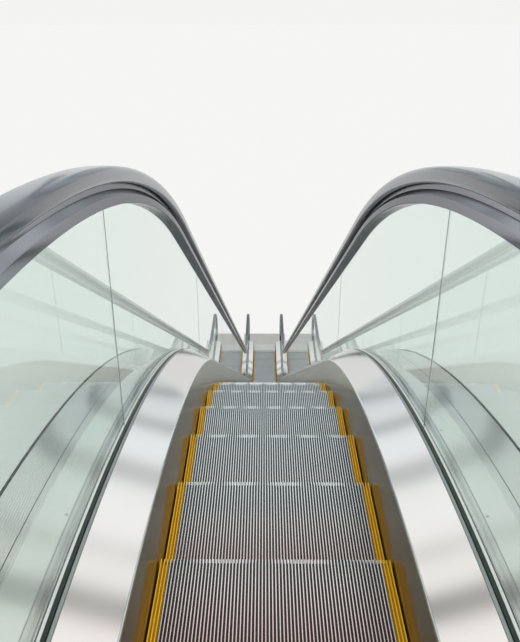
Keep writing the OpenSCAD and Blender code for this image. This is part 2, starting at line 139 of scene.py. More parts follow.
@dataclass(frozen=True)
class Layout:
    """Main sizes of the run in metres, the same as in the part's source.

    Attributes:
        flat_run: Length of the level steps at each end.
        landing: Length of a landing plate, which starts plate_y from the bearing.
        upper_r: Radius of the nose line in the upper bend, lower_r in the lower one.
        pitch: Spacing of the step noses along their line.
        phase: Length from the start of the upper bend to the first step nose after it.
        cleats: Cleats across a step, of which strip are yellow on each side.
        tread: Depth of a tread.
        handrail_h: Top of the handrails over the noses.
        gauge: Distance between the two glasses, and between the two handrails.
        newel_r: Radius of the handrail's outer face round a newel.
        newel_back: How far a newel's centre lies past its comb line.
        half_w: Half the width over the outer decks, without the cover strips.
        skirt_x: Where a skirt stands at the noses, skirt_lean how far it leans out at its top.
        level: Height of the upper landing.
        comb_gap: How far a nose stays from a comb line.
        upper_tangent: Tangent length of the upper bend, and so on for the lower one.
        upper_comb: Comb line of the upper landing.
        upper_bend: Where the upper bend starts.
        straight: Length of the inclined straight.
        lower_bend: Where the lower bend ends.
        upper_newel: Centre of the upper newel, and so on for the lower one.
    """

    rise: float = 7.8
    slope: float = math.radians(30.0)
    flat_run: float = 0.81
    landing: float = 1.15
    upper_r: float = 5.5
    lower_r: float = 4.0
    step_w: float = 0.604
    pitch: float = 0.4046
    phase: float = 0.578
    cleats: int = 71
    cleat_w: float = 0.0029
    cleat_h: float = 0.010
    strip: int = 3
    tread: float = 0.400
    handrail_h: float = 0.974
    gauge: float = 0.950
    newel_r: float = 0.437
    newel_back: float = 0.350
    half_w: float = 0.610
    cover_w: float = 0.105
    skirt_x: float = 0.306
    skirt_lean: float = 0.018
    level: float = 0.200
    plate_y: float = 0.090
    comb_gap: float = 0.02
    upper_tangent: float = upper_r * math.tan(slope / 2)
    lower_tangent: float = lower_r * math.tan(slope / 2)
    upper_comb: float = plate_y + landing
    upper_bend: float = upper_comb + flat_run
    straight: float = rise / math.sin(slope) - upper_tangent - lower_tangent
    lower_bend: float = upper_bend + upper_tangent + rise / math.tan(slope) + lower_tangent
    upper_newel: float = upper_comb - newel_back
    lower_newel: float = lower_bend + flat_run + newel_back

    @property
    def bends(self) -> list[tuple[float, float]]:
        """Returns the bends and the straight between them."""
        return [(self.upper_r, -self.slope), (self.straight, 0.0), (self.lower_r, self.slope)]

    def line(self, start: float, end: float) -> Line:
        """Follows the step noses from start to end downhill."""
        return trace(start, self.level, 0.0, [(self.upper_bend - start, 0.0), *self.bends,
                                              (end - self.lower_bend, 0.0)])

    def noses(self) -> Section:
        """Returns the y and z of every step nose, top to bottom."""
        first = math.ceil((-self.flat_run - self.phase + self.comb_gap) / self.pitch)
        end = self.upper_r * self.slope + self.straight + self.lower_r * self.slope
        last = math.floor((end + self.flat_run + self.tread - self.comb_gap - self.phase) / self.pitch)
        return [self.nose(self.phase + k * self.pitch, end) for k in range(first, last + 1)]

    def nose(self, run: float, end: float) -> tuple[float, float]:
        """Finds one point of the nose line.

        Args:
            run: Length from the start of the upper bend.
            end: Length of both bends and the straight.

        Returns:
            Its y and z.
        """
        bend = self.upper_r * self.slope
        low = self.level - self.rise
        if run < 0:
            return (self.upper_bend + run, self.level)
        if run < bend:
            way = run / self.upper_r
            return (self.upper_bend + self.upper_r * math.sin(way),
                    self.level - self.upper_r * (1 - math.cos(way)))
        if run < bend + self.straight:
            far = self.upper_tangent + run - bend
            return (self.upper_bend + self.upper_tangent + far * math.cos(self.slope),
                    self.level - far * math.sin(self.slope))
        if run < end:
            way = (end - run) / self.lower_r
            return (self.lower_bend - self.lower_r * math.sin(way), low + self.lower_r * (1 - math.cos(way)))
        return (self.lower_bend + run - end, low)


LAYOUT = Layout()


class Value:
    """A shader socket that takes part in sums."""

    def __init__(self, tree: bpy.types.NodeTree, socket: bpy.types.NodeSocket) -> None:
        """Keeps the tree and the output socket."""
        self.tree = tree
        self.socket = socket

    def _math(self, how: str, *terms: "Value | float") -> "Value":
        """Adds one Math node.

        Args:
            how: Its operation.
            *terms: Its inputs in order.

        Returns:
            The result.
        """
        node = self.tree.nodes.new("ShaderNodeMath")
        node.operation = how
        for place, term in zip(node.inputs, terms):
            if isinstance(term, Value):
                self.tree.links.new(term.socket, place)
            else:
                place.default_value = term
        return Value(self.tree, node.outputs[0])

    def __add__(self, other: "Value | float") -> "Value":
        """Adds."""
        return self._math("ADD", self, other)

    def __radd__(self, other: float) -> "Value":
        """Adds from the left."""
        return self._math("ADD", other, self)

    def __sub__(self, other: "Value | float") -> "Value":
        """Takes away."""
        return self._math("SUBTRACT", self, other)

    def __rsub__(self, other: float) -> "Value":
        """Takes away from the left."""
        return self._math("SUBTRACT", other, self)

    def __mul__(self, other: "Value | float") -> "Value":
        """Multiplies."""
        return self._math("MULTIPLY", self, other)

    def __rmul__(self, other: float) -> "Value":
        """Multiplies from the left."""
        return self._math("MULTIPLY", other, self)

    def __abs__(self) -> "Value":
        """Drops the sign."""
        return self._math("ABSOLUTE", self)

    def arccosine(self) -> "Value":
        """Returns the angle of a cosine in radians."""
        return self._math("ARCCOSINE", self)

    def clamp(self) -> "Value":
        """Returns the value held between 0 and 1."""
        node = self.tree.nodes.new("ShaderNodeClamp")
        self.tree.links.new(self.socket, node.inputs[0])
        return Value(self.tree, node.outputs[0])


Input = Value | float | tuple | None


class Paint:
    """Builds one node material."""

    def __init__(self, name: str) -> None:
        """Starts an empty material.

        Args:
            name: The material's name.
        """
        self.material = bpy.data.materials.new(name)
        self.material.use_nodes = True
        self.tree = self.material.node_tree
        self.tree.nodes.clear()

    def node(self, kind: str, settings: dict[str, object] | None = None, **sockets: Input) -> bpy.types.Node:
        """Adds a node.

        Args:
            kind: The node's type without its prefix.
            settings: Properties set before the sockets, with stops for a colour ramp.
            **sockets: Socket values by name with _ for a space, or by number after _.

        Returns:
            The node.
        """
        made = self.tree.nodes.new("ShaderNode" + kind)
        for name, what in (settings or {}).items():
            if name == "stops":
                ramp = made.color_ramp
                while len(ramp.elements) < len(what):
                    ramp.elements.new(0.5)
                for stop, (at, shade) in zip(ramp.elements, what):
                    stop.position = at
                    stop.color = (*(shade if isinstance(shade, tuple) else (shade,) * 3), 1.0)
            else:
                setattr(made, name, what)
        for name, what in sockets.items():
            place = made.inputs[int(name[1:])] if name[0] == "_" else made.inputs[name.replace("_", " ")]
            if isinstance(what, Value):
                self.tree.links.new(what.socket, place)
            elif isinstance(what, tuple) and len(what) == 3 and place.type == "RGBA":
                place.default_value = (*what, 1.0)
            elif what is not None:
                place.default_value = what
        return made

    def out(self, made: bpy.types.Node, name: str | int = 0) -> Value:
        """Returns one output of a node."""
        return Value(self.tree, made.outputs[name])

    def coords(self, along: bool, scale: Colour) -> Value:
        """Gives pattern coordinates.

        Args:
            along: True for the piece's own UV map, False for object coordinates.
            scale: Scale on each axis.

        Returns:
            The scaled coordinates.
        """
        place = self.out(self.node("TexCoord"), "UV" if along else "Object")
        return self.out(self.node("Mapping", None, Vector=place, Scale=scale))

    def noise(self, where: Value, size: float, detail: float) -> Value:
        """Returns a noise value of the given scale."""
        return self.out(self.node("TexNoise", None, Vector=where, Scale=size, Detail=detail), "Fac")

    def blend(self, factor: Input, low: Input, high: Input) -> Value:
        """Mixes two colours.

        Args:
            factor: 0 gives low, 1 gives high.
            low: First colour.
            high: Second colour.

        Returns:
            The mixed colour.
        """
        return self.out(self.node("Mix", {"data_type": "RGBA"}, _0=factor, _6=low, _7=high), 2)

    def ramp(self, value: Value, stops: list[tuple[float, float]]) -> Value:
        """Returns the value sent through a ramp of greys."""
        return self.out(self.node("ValToRGB", {"stops": stops}, Fac=value))

    def bump(self, height: Value, depth: float, strength: float) -> Value:
        """Returns a normal raised by height over depth metres."""
        return self.out(self.node("Bump", None, Height=height, Distance=depth, Strength=strength))

    def close(self, shader: bpy.types.Node, kind: str = "OutputMaterial") -> None:
        """Sends a shader to the output."""
        self.node(kind, None, Surface=self.out(shader))

    def finish(self, **sockets: Input) -> bpy.types.Material:
        """Closes the material with one principled shader of the given sockets."""
        self.close(self.node("BsdfPrincipled", None, **sockets))
        return self.material


class SkyPaint(Paint):
    """Builds the nodes of the world."""

    def __init__(self, name: str) -> None:
        """Starts an empty world.

        Args:
            name: The world's name.
        """
        world = bpy.data.worlds.new(name)
        world.use_nodes = True
        self.tree = world.node_tree
        self.tree.nodes.clear()
        bpy.context.scene.world = world


@dataclass(frozen=True)
class SatinSteel:
    """Stainless steel sheet ground along its length.

    Attributes:
        along: True where the grain follows the piece's UV map.
        streak: How far the grain varies the roughness, haze how far the clouding does.
        edge: Share of light mirrored at a glancing angle.
        grain: Scale of the grain on the UV map, plain_grain on object coordinates.
        clouds: Scale of the clouding, dim how dark it gets.
        depth: Depth of the grain in metres.
    """

    name: str
    colour: Colour
    rough: float
    along: bool = True
    streak: float = 0.10
    edge: float = 0.80
    haze: float = 0.08
    grain: Colour = (3.0, 1400.0, 1.0)
    plain_grain: Colour = (900.0, 4.0, 900.0)
    clouds: Colour = (2.2, 1.1, 2.2)
    dim: float = 0.86
    depth: float = 0.00002

    def build(self) -> bpy.types.Material:
        """Returns the material."""
        paint = Paint(self.name)
        scale = self.grain if self.along else self.plain_grain
        grain = paint.noise(paint.coords(self.along, scale), 1.0, 3.0)
        cloud = paint.noise(paint.coords(False, self.clouds), 1.0, 3.0)
        rough = self.rough + (grain - 0.5) * self.streak + (cloud - 0.5) * self.haze
        dark = tuple(c * self.dim for c in self.colour)
        return paint.finish(Base_Color=paint.blend(cloud, dark, self.colour), Metallic=1.0, Roughness=rough,
                            Specular_Tint=(self.edge,) * 3, Normal=paint.bump(grain, self.depth, 0.35))


@dataclass(frozen=True)
class SkirtCoat:
    """Dark taupe low-friction coat on the skirt panels.

    Attributes:
        dark: Its darkest tone, light its lightest.
        scuffed: Tone of the faint scuffs along it, share how much of it shows.
        clouds: Scale of the clouding, scuffs of the scuffs.
        worn: Height of the scuffs' pattern where they start and where they are full.
        haze: How far the clouding varies the roughness.
        depth: Depth of the scuffs in metres.
    """

    name: str = "skirt coat"
    dark: Colour = (0.225, 0.164, 0.094)
    light: Colour = (0.310, 0.232, 0.138)
    scuffed: Colour = (0.30, 0.27, 0.23)
    rough: float = 0.21
    metal: float = 0.85
    coat: float = 0.12
    share: float = 0.35
    clouds: Colour = (1.4, 9.0, 1.0)
    scuffs: Colour = (2.0, 260.0, 1.0)
    worn: tuple[float, float] = (0.60, 0.78)
    haze: float = 0.05
    depth: float = 0.00001

    def build(self) -> bpy.types.Material:
        """Returns the material."""
        paint = Paint(self.name)
        cloud = paint.noise(paint.coords(True, self.clouds), 1.0, 3.0)
        scuff = paint.noise(paint.coords(True, self.scuffs), 1.0, 3.0)
        marks = paint.ramp(scuff, [(self.worn[0], 0.0), (self.worn[1], 1.0)])
        tone = paint.blend(cloud, self.dark, self.light)
        tone = paint.blend(marks * self.share, tone, self.scuffed)
        rough = self.rough + (cloud - 0.5) * self.haze
        return paint.finish(Base_Color=tone, Metallic=self.metal, Roughness=rough, Coat_Weight=self.coat,
                            Coat_Roughness=0.12, Normal=paint.bump(scuff, self.depth, 0.2))


@dataclass(frozen=True)
class HandrailRubber:
    """Smooth slate-black rubber with a polished crown.

    Attributes:
        dark: Its darkest tone, light its lightest.
        clouds: Scale of the clouding, haze how far it varies the roughness.
        depth: Depth of its unevenness in metres.
    """

    name: str = "handrail rubber"
    dark: Colour = (0.024, 0.036, 0.054)
    light: Colour = (0.044, 0.062, 0.086)
    rough: float = 0.16
    coat: float = 0.22
    clouds: Colour = (6.0, 40.0, 1.0)
    haze: float = 0.08
    depth: float = 0.0001

    def build(self) -> bpy.types.Material:
        """Returns the material."""
        paint = Paint(self.name)
        cloud = paint.noise(paint.coords(True, self.clouds), 1.0, 4.0)
        tone = paint.blend(cloud, self.dark, self.light)
        rough = self.rough + (cloud - 0.5) * self.haze
        return paint.finish(Base_Color=tone, Roughness=rough, Coat_Weight=self.coat, Coat_Roughness=0.05,
                            Normal=paint.bump(cloud, self.depth, 0.2))


@dataclass(frozen=True)
class Plain:
    """Cast, moulded or painted surface with fine grain and soft clouding.

    Attributes:
        grain: Scale of the grain.
        depth: Depth of the grain in metres.
        spread: How far the clouding varies the colour, haze how far the roughness.
        clouds: Scale of the clouding.
        glancing: Painted reflection, a colour that takes over where the surface is seen at a glancing angle.
        takes_over: Where it starts and where it has taken over, 1 is the grazing angle.
    """

    name: str
    colour: Colour
    rough: float = 0.5
    metal: float = 0.0
    grain: float = 600.0
    depth: float = 0.00008
    spread: float = 0.14
    coat: float = 0.0
    glancing: Colour | None = None
    takes_over: tuple[float, float] = (0.25, 0.49)
    clouds: float = 3.0
    haze: float = 0.15

    def build(self) -> bpy.types.Material:
        """Returns the material."""
        paint = Paint(self.name)
        where = paint.coords(False, (1.0, 1.0, 1.0))
        fine = paint.noise(where, self.grain, 2.0)
        cloud = paint.noise(where, self.clouds, 4.0)
        low = tuple(c * (1 - self.spread) for c in self.colour)
        high = tuple(min(1.0, c * (1 + self.spread)) for c in self.colour)
        tone = paint.blend(cloud, low, high)
        # Painted reflection: by viewing angle the glancing colour takes over the base colour.
        if self.glancing:
            facing = paint.out(paint.node("LayerWeight", None, Blend=0.5), "Facing")
            share = paint.ramp(facing, [(self.takes_over[0], 0.0), (self.takes_over[1], 1.0)])
            tone = paint.blend(share, tone, self.glancing)
        rough = self.rough + (cloud - 0.5) * self.haze
        return paint.finish(Base_Color=tone, Metallic=self.metal, Roughness=rough, Coat_Weight=self.coat,
                            Coat_Roughness=0.2, Normal=paint.bump(fine, self.depth, 0.5))


@dataclass(frozen=True)
class SheetGlass:
    """Clear toughened glass with a slight green cast."""

    name: str = "balustrade glass"
    tint: Colour = (0.75, 0.85, 0.81)

    def build(self) -> bpy.types.Material:
        """Returns the material."""
        paint = Paint(self.name)
        body = paint.node("BsdfPrincipled", None, Base_Color=self.tint, Roughness=0.0, IOR=1.5,
                          Transmission_Weight=1.0)
        clear = paint.node("BsdfTransparent", None, Color=self.tint)
        shadow = paint.out(paint.node("LightPath"), "Is Shadow Ray")
        paint.close(paint.node("MixShader", None, _0=shadow, _1=paint.out(body), _2=paint.out(clear)))
        return paint.material


class Finish(Enum):
    """Every finish on the machine."""

    DECK = SatinSteel("deck steel", (0.94, 0.93, 0.915), 0.115, True, 0.04)
    GUIDE = SatinSteel("guide steel", (0.49, 0.50, 0.54), 0.14, True, 0.08, 0.40)
    SCREW = Plain("screw steel", (0.42, 0.42, 0.42), 0.32, 1.0)
    CAP = SatinSteel("cap steel", (0.62, 0.61, 0.59), 0.30, False)
    SKIRT = SkirtCoat()
    RUBBER = HandrailRubber()
    GLASS = SheetGlass()
    GASKET = Plain("gasket rubber", (0.014, 0.022, 0.019), 0.42, 0.0, 900.0, 0.00005)
    CLAMP = Plain("clamp aluminium", (0.55, 0.56, 0.56), 0.38, 1.0)
    TRIM = SatinSteel("gasket trim steel", (0.42, 0.45, 0.45), 0.30)
    # The cleats' glancing colour is a painted reflection of the pale sky on the far treads.
    CLEAT = Plain("cleat aluminium", (0.93, 0.68, 0.64), 0.22, 0.75, 1500.0, 0.00004, 0.08,
                  glancing=(0.94, 1.0, 1.0))
    # Near-black painted shade of the grooves, for the plates between the cleats and the cleats' flanks, with
    # a cool painted reflection at glancing angles.
    GROOVE = Plain("groove dirt", (0.024, 0.014, 0.012), 0.38, glancing=(0.105, 0.13, 0.14))
    CASTING = Plain("cast aluminium", (0.50, 0.49, 0.48), 0.50, 0.9, 350.0, 0.0002)
    YELLOW = Plain("yellow strip", (1.0, 0.61, 0.016), 0.44, 0.0, 800.0, 0.00005, 0.06)
    # Darker copy of the yellow strip for the plates between the yellow cleats: painted shade of the grooves.
    YELLOW_LOW = Plain("yellow strip grooves", (0.42, 0.20, 0.008), 0.65)
    STEEL = Plain("truss steel", (0.36, 0.37, 0.38), 0.46, 0.75, 90.0, 0.0001)
    PAINT = Plain("cladding paint", (0.72, 0.70, 0.65), 0.42, 0.0, 1200.0, 0.00002, 0.04, 0.2)
    COMB = Plain("comb aluminium", (0.60, 0.60, 0.59), 0.34, 0.9, 1200.0, 0.00004, 0.08)
    FLOOR = Plain("landing aluminium", (0.56, 0.55, 0.53), 0.40, 0.9, 700.0, 0.00006)
    BLACK = Plain("black plastic", (0.022, 0.022, 0.023), 0.45, 0.0, 900.0, 0.00006)
    TYRE = Plain("roller tyre", (0.10, 0.10, 0.10), 0.5)

    @property
    def material(self) -> bpy.types.Material:
        """Returns the finish's material, made on first use."""
        return bpy.data.materials.get(self.value.name) or self.value.build()


def put(name: str, data: bpy.types.ID) -> bpy.types.Object:
    """Adds an object to the scene.

    Args:
        name: The object's name.
        data: Its mesh, lamp or camera.

    Returns:
        The object.
    """
    made = bpy.data.objects.new(name, data)
    bpy.context.scene.collection.objects.link(made)
    return made


def wrap(name: str, verts: list, faces: list, uvs: list | None = None, crease: float = 35.0) -> Piece:
    """Makes a mesh object at the origin.

    Args:
        name: The object's name.
        verts: Corner points in metres.
        faces: Corner numbers of each face.
        uvs: One UV pair for each face corner.
        crease: Degrees past which an edge stays sharp.

    Returns:
        The object.
    """
    mesh = bpy.data.meshes.new(name)
    mesh.from_pydata(verts, [], faces)
    if uvs:
        layer = mesh.uv_layers.new(name="run")
        layer.data.foreach_set("uv", [c for pair in uvs for c in pair])
    bm = bmesh.new()
    bm.from_mesh(mesh)
    bmesh.ops.recalc_face_normals(bm, faces=bm.faces)
    bm.to_mesh(mesh)
    bm.free()
    mesh.shade_smooth()
    mesh.set_sharp_from_angle(angle=math.radians(crease))
    return put(name, mesh)


def sweep(name: str, parts: list[tuple[Section, Line]], loop: bool = False, crease: float = 35.0) -> Piece:
    """Makes one piece of closed sections that follow lines.

    Args:
        name: The piece's name.
        parts: Each section, as x across and lift over the line, with its line.
        loop: True where the lines close on themselves.
        crease: Degrees past which an edge stays sharp.

    Returns:
        The object.
    """
    verts, faces, uvs = [], [], []
    for section, line in parts:
        base, count = len(verts), len(section)
        width = [0.0]
        for (xa, va), (xb, vb) in zip(section, section[1:] + section[:1]):
            width.append(width[-1] + math.hypot(xb - xa, vb - va))
        spots = line[:-1] if loop else line
        for spot in spots:
            verts.extend(spot.lifted(x, lift) for x, lift in section)
        for i, (here, there) in enumerate(zip(line, line[1:])):
            a, b = base + i * count, base + (i + 1) % len(spots) * count
            for k in range(count):
                n = (k + 1) % count
                faces.append((a + k, a + n, b + n, b + k))
                uvs.extend(((here.run, width[k]), (here.run, width[k + 1]), (there.run, width[k + 1]),
                            (there.run, width[k])))
        if not loop:
            for start in (base, base + (len(spots) - 1) * count):
                faces.append(tuple(start + k for k in range(count)))
                uvs.extend((line[0].run, width[k]) for k in range(count))
    return wrap(name, verts, faces, uvs, crease)


def prism(base: int, n: int) -> list[tuple[int, ...]]:
    """Returns the faces between two rings of n points each, the first of which starts at base."""
    ends = [tuple(start + k for k in range(n)) for start in (base, base + n)]
    return ends + [(base + k, base + (k + 1) % n, base + n + (k + 1) % n, base + n + k) for k in range(n)]


def bars(name: str, spots: Section, low: float, high: float, ring: Section) -> Piece:
    """Makes a bar across the run at every spot.

    Args:
        name: Name of the result.
        spots: The y and z of each.
        low: Their left end.
        high: Their right end.
        ring: Their section about the spot.

    Returns:
        The object.
    """
    verts, faces = [], []
    for y, z in spots:
        faces += prism(len(verts), len(ring))
        verts += [(x, y + dy, z + dz) for x in (low, high) for dy, dz in ring]
    return wrap(name, verts, faces)


def mount(piece: Piece, slot: str, nodes: tuple[str, ...], *finishes: Finish) -> None:
    """Gives a piece its finish and place on the machine.

    Args:
        piece: The object.
        slot: Material slot of the record; not used.
        nodes: Nodes that it stands for.
        *finishes: Its materials in order.
    """
    for finish in finishes:
        piece.data.materials.append(finish.material)
    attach(piece, "root")
    if nodes:
        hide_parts(*nodes)
    LOG.info("%s: %d faces", piece.name, len(piece.data.polygons))


def mirrored(section: Section, side: Side) -> Section:
    """Returns the section on the given side."""
    return [(x * side.value, v) for x, v in section]


def whole(half: Section) -> Section:
    """Returns a half section with its mirror image."""
    return half + [(-x, v) for x, v in reversed(half[1:])]


def arc(cx: float, cv: float, r: float, start: float, end: float, count: int) -> Section:
    """Returns points of an arc from start to end degrees."""
    turns = [math.radians(start + (end - start) * i / count) for i in range(count + 1)]
    return [(cx + r * math.cos(t), cv + r * math.sin(t)) for t in turns]


def at_run(line: Line, run: float) -> Station:
    """Finds the point of a line at a given length.

    Args:
        line: The line.
        run: Length from its start in metres.

    Returns:
        The point between two stations.
    """
    for a, b in zip(line, line[1:]):
        if b.run >= run:
            t = (run - a.run) / max(TINY, b.run - a.run)
            heading = a.heading + (b.heading - a.heading) * t
            return Station(a.y + (b.y - a.y) * t, a.z + (b.z - a.z) * t, heading, run)
    return line[-1]


def height_at(line: Line, y: float) -> float:
    """Finds the height of a line at a place downhill.

    Args:
        line: The line.
        y: The place in metres.

    Returns:
        Its height.
    """
    for a, b in zip(line, line[1:]):
        if b.y >= y:
            return a.z + (b.z - a.z) * (y - a.y) / max(TINY, b.y - a.y)
    return line[-1].z


def rails(stem: str, slot: str, section: Section, line: Line, finish: Finish, loop: bool,
          crease: float) -> None:
    """Makes one rail over each glass.

    Args:
        stem: The pieces' name without the side.
        slot: Material slot of the record.
        section: The section about the rail centre.
        line: The line to follow.
        finish: The material.
        loop: True where the line closes on itself.
        crease: Degrees past which an edge stays sharp.
    """
    for side in Side:
        moved = [(x + side.value * LAYOUT.gauge / 2, v) for x, v in section]
        rail = sweep(f"{stem}.{side.word}", [(moved, line)], loop, crease)
        mount(rail, slot, (f"{stem.replace('-', '_')}_{side.word}",), finish)


class Repeater:
    """Geometry Nodes that set one item, or a row of them, on every point.

    Attributes:
        nodes: Every node's type by its short name.
        links: Each link, from a node's output to a node's input.
    """

    nodes: dict[str, str] = {
        "in": "NodeGroupInput", "out": "NodeGroupOutput", "info": "GeometryNodeObjectInfo",
        "row": "GeometryNodeMeshLine", "place": "GeometryNodeInstanceOnPoints",
        "lay": "GeometryNodeInstanceOnPoints", "tilt": "GeometryNodeInputNamedAttribute",
        "real": "GeometryNodeRealizeInstances", "dress": "GeometryNodeSetMaterial",
        "offset": "ShaderNodeCombineXYZ", "middle": "ShaderNodeCombineXYZ", "less": "ShaderNodeMath",
        "half": "ShaderNodeMath", "flip": "ShaderNodeMath", "dodge": "FunctionNodeBooleanMath"}
    links: tuple[tuple[str, str | int, str, str | int], ...] = (
        ("in", "Item", "info", "Object"), ("in", "Row count", "row", "Count"),
        ("in", "Row count", "less", 0), ("less", 0, "half", 0), ("in", "Row spacing", "half", 1),
        ("half", 0, "flip", 0), ("flip", 0, "middle", 0), ("in", "Row spacing", "offset", 0),
        ("middle", 0, "row", "Start Location"), ("offset", 0, "row", "Offset"),
        ("row", 0, "place", "Points"), ("info", "Geometry", "place", "Instance"),
        ("in", "Geometry", "lay", "Points"), ("place", 0, "lay", "Instance"),
        ("tilt", 0, "lay", "Rotation"), ("lay", 0, "real", 0), ("real", 0, "dress", "Geometry"),
        ("in", "Keep materials", "dodge", 0), ("dodge", 0, "dress", "Selection"),
        ("in", "Material", "dress", "Material"), ("dress", 0, "out", 0))

    def __init__(self) -> None:
        """Builds the node tree once."""
        self.tree = bpy.data.node_groups.new("repeat on points", "GeometryNodeTree")
        self.keys = {}
        for name, kind in (("Geometry", "Geometry"), ("Item", "Object"), ("Row count", "Int"),
                           ("Row spacing", "Float"), ("Material", "Material"), ("Keep materials", "Bool")):
            place = self.tree.interface.new_socket(name, in_out="INPUT", socket_type="NodeSocket" + kind)
            self.keys[name] = place.identifier
        self.tree.interface.new_socket("Geometry", in_out="OUTPUT", socket_type="NodeSocketGeometry")
        made = {key: self.tree.nodes.new(kind) for key, kind in self.nodes.items()}
        for key, how in (("less", "SUBTRACT"), ("half", "MULTIPLY"), ("flip", "MULTIPLY"), ("dodge", "NOT")):
            made[key].operation = how
        made["less"].inputs[1].default_value = 1.0
        made["flip"].inputs[1].default_value = -0.5
        made["tilt"].data_type = "FLOAT_VECTOR"
        made["tilt"].inputs[0].default_value = "tilt"
        for source, leaving, target, entering in self.links:
            self.tree.links.new(made[source].outputs[leaving], made[target].inputs[entering])

    def lay(self, name: str, points: list[Spot], item: Piece, finish: Finish,
            tilts: list[float] | None = None, row: int = 1, pace: float = 0.0, keep: bool = False) -> Piece:
        """Sets the item on the points.

        Args:
            name: Name of the result.
            points: Where each item or row of items goes.
            item: The object to repeat, which is removed.
            finish: Material of the result.
            tilts: Turn about the x axis at each point in radians.
            row: Items across each point.
            pace: Spacing across in metres.
            keep: True keeps the item's own materials.

        Returns:
            The plain mesh object.
        """
        mesh = bpy.data.meshes.new(name + "-points")
        mesh.from_pydata(points, [], [])
        turn = mesh.attributes.new("tilt", "FLOAT_VECTOR", "POINT")
        for i, t in enumerate(tilts or [0.0] * len(points)):
            turn.data[i].vector = (t, 0.0, 0.0)
        base = put(name + "-base", mesh)
        live = base.modifiers.new("repeat", "NODES")
        live.node_group = self.tree
        for key, what in (("Item", item), ("Row count", row), ("Row spacing", pace),
                          ("Material", finish.material), ("Keep materials", keep)):
            live[self.keys[key]] = what
        graph = bpy.context.evaluated_depsgraph_get()
        shown = base.evaluated_get(graph)
        done = bpy.data.meshes.new_from_object(shown, preserve_all_data_layers=True, depsgraph=graph)
        done.name = name
        base.modifiers.clear()
        for spare in (base, item):
            bpy.data.objects.remove(spare)
        return put(name, done)


@dataclass
class Handrails:
    """The two rubber handrails, each one closed loop.

    Attributes:
        crown_r: Width of one shoulder of the crown, crown_rise its height.
        crown_drop: How far the shoulders' widest line lies under the top.
        side_r: Radius of the lower corners.
        mouth: Half the gap between the lips.
        lip_h: Thickness of the lips.
        ceiling: Depth of the hollow's ceiling under the crown.
        dip_r: Radius of the bends where the rail goes down into the truss.
        dip_angle: How steeply it goes down there.
        sink: Height of the newel centre's level line over the return.
        back_r: Radius of the bends of the return.
        lead: Straight length before it goes down.
    """

    width: float = 0.080
    thick: float = 0.046
    wall: float = 0.009
    crown_r: float = 0.021
    crown_rise: float = 0.019
    crown_drop: float = 0.0196
    side_r: float = 0.014
    mouth: float = 0.0186
    lip_h: float = 0.0070
    ceiling: float = 0.0105
    dip_r: float = 0.6
    dip_angle: float = math.radians(30)
    sink: float = 0.1
    back_r: float = 2.5
    lead: float = 0.01

    def section(self) -> Section:
        """Returns the C-shaped section about the rail centre."""
        w, t, r, m = self.width / 2, self.thick, self.side_r, self.mouth
        inside, lip_top = w - self.wall, self.lip_h - self.thick
        crown = [(w - self.crown_r + self.crown_r * math.sin(math.radians(a)),
                  -self.crown_drop + self.crown_rise * math.cos(math.radians(a))) for a in range(8, 91, 9)]
        lip = [(m + 0.001, -t), (m, -t + 0.001), (m, lip_top), (inside, lip_top),
               (inside, -self.ceiling - 0.003), (inside - 0.003, -self.ceiling)]
        return whole([(0.0, 0.0), (w * 0.28, -0.0002), *crown, *arc(w - r, -t + r, r, 0, -90, 7), *lip])

    def loop(self) -> Line:
        """Returns the closed line of the handrail's outer face."""
        run, a, r, dip, lead = LAYOUT, LAYOUT.slope, LAYOUT.newel_r, self.dip_angle, self.lead
        low = run.handrail_h - 2 * r
        slip = (low + self.sink - 2 * self.dip_r * (1 - math.cos(dip))) / math.sin(dip)
        dip_run = 2 * self.dip_r * math.sin(dip) + slip * math.cos(dip)
        tangent = self.back_r * math.tan(a / 2)
        y1 = run.upper_bend + run.upper_tangent
        y2 = y1 + run.rise / math.tan(a)
        inlet = [(lead, 0.0), (self.dip_r, dip), (slip, 0.0), (self.dip_r, -dip)]
        return trace(run.upper_newel, run.level + low, math.pi, [
            (r, -math.pi), (run.upper_bend - run.upper_newel, 0.0), *run.bends,
            (run.lower_newel - run.lower_bend, 0.0), (r, -math.pi), *inlet,
            (run.lower_newel - lead - dip_run - y2 - tangent, 0.0), (self.back_r, -a),
            (run.rise / math.sin(a) - 2 * tangent, 0.0), (self.back_r, a),
            (y1 - tangent - run.upper_newel - lead - dip_run, 0.0), *reversed(inlet)])

    def build(self) -> None:
        """Makes both handrails."""
        rails("handrail", "handrail_rubber", self.section(), self.loop(), Finish.RUBBER, True, 50)


